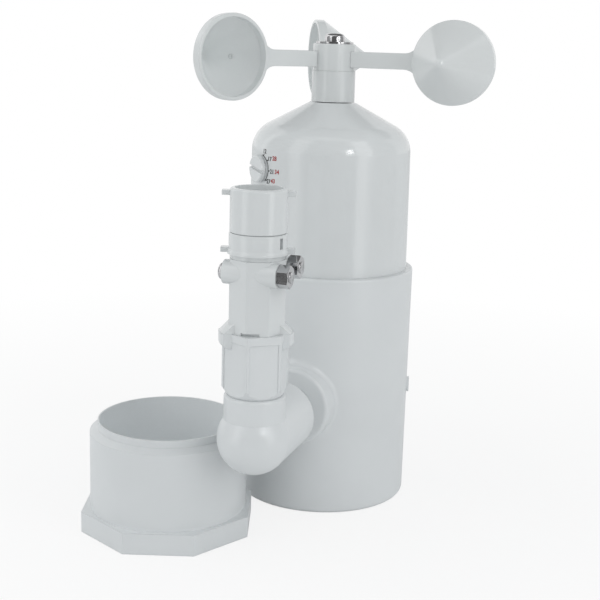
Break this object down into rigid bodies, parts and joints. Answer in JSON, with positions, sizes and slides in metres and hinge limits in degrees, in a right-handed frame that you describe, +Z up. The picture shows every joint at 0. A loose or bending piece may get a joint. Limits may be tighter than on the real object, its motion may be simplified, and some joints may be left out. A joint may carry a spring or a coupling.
{
  "type": "cup anemometer",
  "caption": "Cup anemometer with conical cups on a domed bell, a pipe tee with a side rain sensor, an inner governor switch and a loose pipe bushing.",
  "frame": {"origin": "centre of the mouth of the pipe socket in the foot of the tee", "axes": "+Z up the rotor shaft, -Y towards the rain sensor"},
  "size_m": [0.1412, 0.1568, 0.1952],
  "materials": {
    "pvc": "moulded pipe fitting, satin",
    "housing": "moulded, semi-gloss",
    "rotor": "moulded, semi-gloss",
    "dark_plastic": "matt black",
    "steel": "turned",
    "chrome": "bright plated",
    "brass": "turned",
    "seal": "matt",
    "button": "matt",
    "resin": "cast",
    "cork": "pressed, absorbent"
  },
  "bodies": {
    "base": {"tee_fitting": "pvc", "pipe_nipple": "pvc", "bell_housing": "housing", "mechanism_plate": "dark_plastic", "plate_screws": "steel", "outer_races": "steel", "dial_seal": "seal", "street_elbow": "pvc", "hex_collar": "pvc", "rain_body": "housing", "sensor_neck": "housing", "through_bolts": "chrome", "hex_nuts": "chrome", "potting_plug": "resin", "rain_switch": "dark_plastic", "plunger_guide": "housing", "rain_spring": "steel"},
    "rotor": {"rotor_hub": "rotor", "cup_arm_1": "rotor", "cup_arm_2": "rotor", "cup_arm_3": "rotor", "hub_skirt": "rotor", "top_washer": "chrome", "top_screw": "chrome", "rotor_shaft": "steel", "inner_races": "steel", "bearing_balls": "steel", "shaft_clips": "steel", "governor_crosshead": "brass", "flyweight_pins": "steel", "spring_seat": "steel", "governor_spring": "steel"},
    "weight_1": {"flyweight_1": "brass"},
    "weight_2": {"flyweight_2": "brass"},
    "collar": {"governor_collar": "brass"},
    "dial": {"speed_dial": "housing", "dial_clip": "steel"},
    "carrier": {"switch_carrier": "dark_plastic", "wind_switch": "dark_plastic", "wind_switch_screws": "steel"},
    "lever": {"switch_lever": "steel"},
    "wind_button": {"wind_switch_button": "button"},
    "plunger": {"rain_plunger": "brass", "absorbent_discs": "cork"},
    "rain_button": {"rain_switch_button": "button"},
    "vent": {"vent_ring": "housing"},
    "cap": {"rain_cap": "housing"},
    "bushing": {"loose_bushing": "pvc"}
  },
  "joints": [
    {"name": "rotor_spin", "type": "hinge", "parent": "base", "child": "rotor", "pos_m": [0, 0, 0.17], "axis": [0, 0, 1], "continuous": true},
    {"name": "weight_1_swing", "type": "hinge", "parent": "rotor", "child": "weight_1", "pos_m": [0.0085, 0, 0.1452], "axis": [0, -1, 0], "range_deg": [0, 25], "stiffness_Nm_per_rad": 0.002, "springref_deg": -11.46},
    {"name": "weight_2_swing", "type": "hinge", "parent": "rotor", "child": "weight_2", "pos_m": [-0.0085, 0, 0.1452], "axis": [0, 1, 0], "range_deg": [0, 25]},
    {"name": "collar_slide", "type": "slide", "parent": "rotor", "child": "collar", "axis": [0, 0, -1], "range_m": [0, 0.00158], "deforming": ["governor_spring"]},
    {"name": "dial_turn", "type": "hinge", "parent": "base", "child": "dial", "pos_m": [-0.023, -0.02572, 0.1362], "axis": [-0.6665, -0.7455, 0], "range_deg": [-60, 60]},
    {"name": "carrier_lift", "type": "slide", "parent": "base", "child": "carrier", "axis": [0, 0, 1], "range_m": [-0.00104, 0.00104]},
    {"name": "lever_swing", "type": "hinge", "parent": "carrier", "child": "lever", "pos_m": [-0.01346, -0.01506, 0.12299], "axis": [-0.7455, 0.6665, 0], "range_deg": [0, 4.1]},
    {"name": "wind_button_press", "type": "slide", "parent": "carrier", "child": "wind_button", "axis": [0, 0, -1], "range_m": [0, 0.000325]},
    {"name": "rain_plunger_press", "type": "slide", "parent": "base", "child": "plunger", "axis": [0, 0, -1], "range_m": [0, 0.001], "stiffness_N_per_m": 300, "springref_m": -0.001, "deforming": ["rain_spring"]},
    {"name": "rain_button_press", "type": "slide", "parent": "base", "child": "rain_button", "axis": [0, 0, -1], "range_m": [0, 0.00081]},
    {"name": "vent_turn", "type": "hinge", "parent": "base", "child": "vent", "pos_m": [0, -0.0807, 0.1165], "axis": [0, 0, 1], "range_deg": [-45, 45]},
    {"name": "cap_turn", "type": "hinge", "parent": "base", "child": "cap", "pos_m": [0, -0.0807, 0.1285], "axis": [0, 0, 1], "range_deg": [-60, 60]},
    {"name": "bushing_slide", "type": "slide", "parent": "base", "child": "bushing", "axis": [-1, 0, 0], "range_m": [0, 0.06]}
  ],
  "couplings": [
    {"joint": "weight_2_swing", "follows": "weight_1_swing", "ratio": 1},
    {"joint": "collar_slide", "follows": "weight_1_swing", "m_per_rad": 0.0035627},
    {"joint": "lever_swing", "follows": "weight_1_swing", "ratio": 0.16},
    {"joint": "wind_button_press", "follows": "weight_1_swing", "m_per_rad": 0.00072117},
    {"joint": "dial_turn", "follows": "carrier_lift", "rad_per_m": 1007.7},
    {"joint": "rain_button_press", "follows": "rain_plunger_press", "ratio": 0.8}
  ]
}
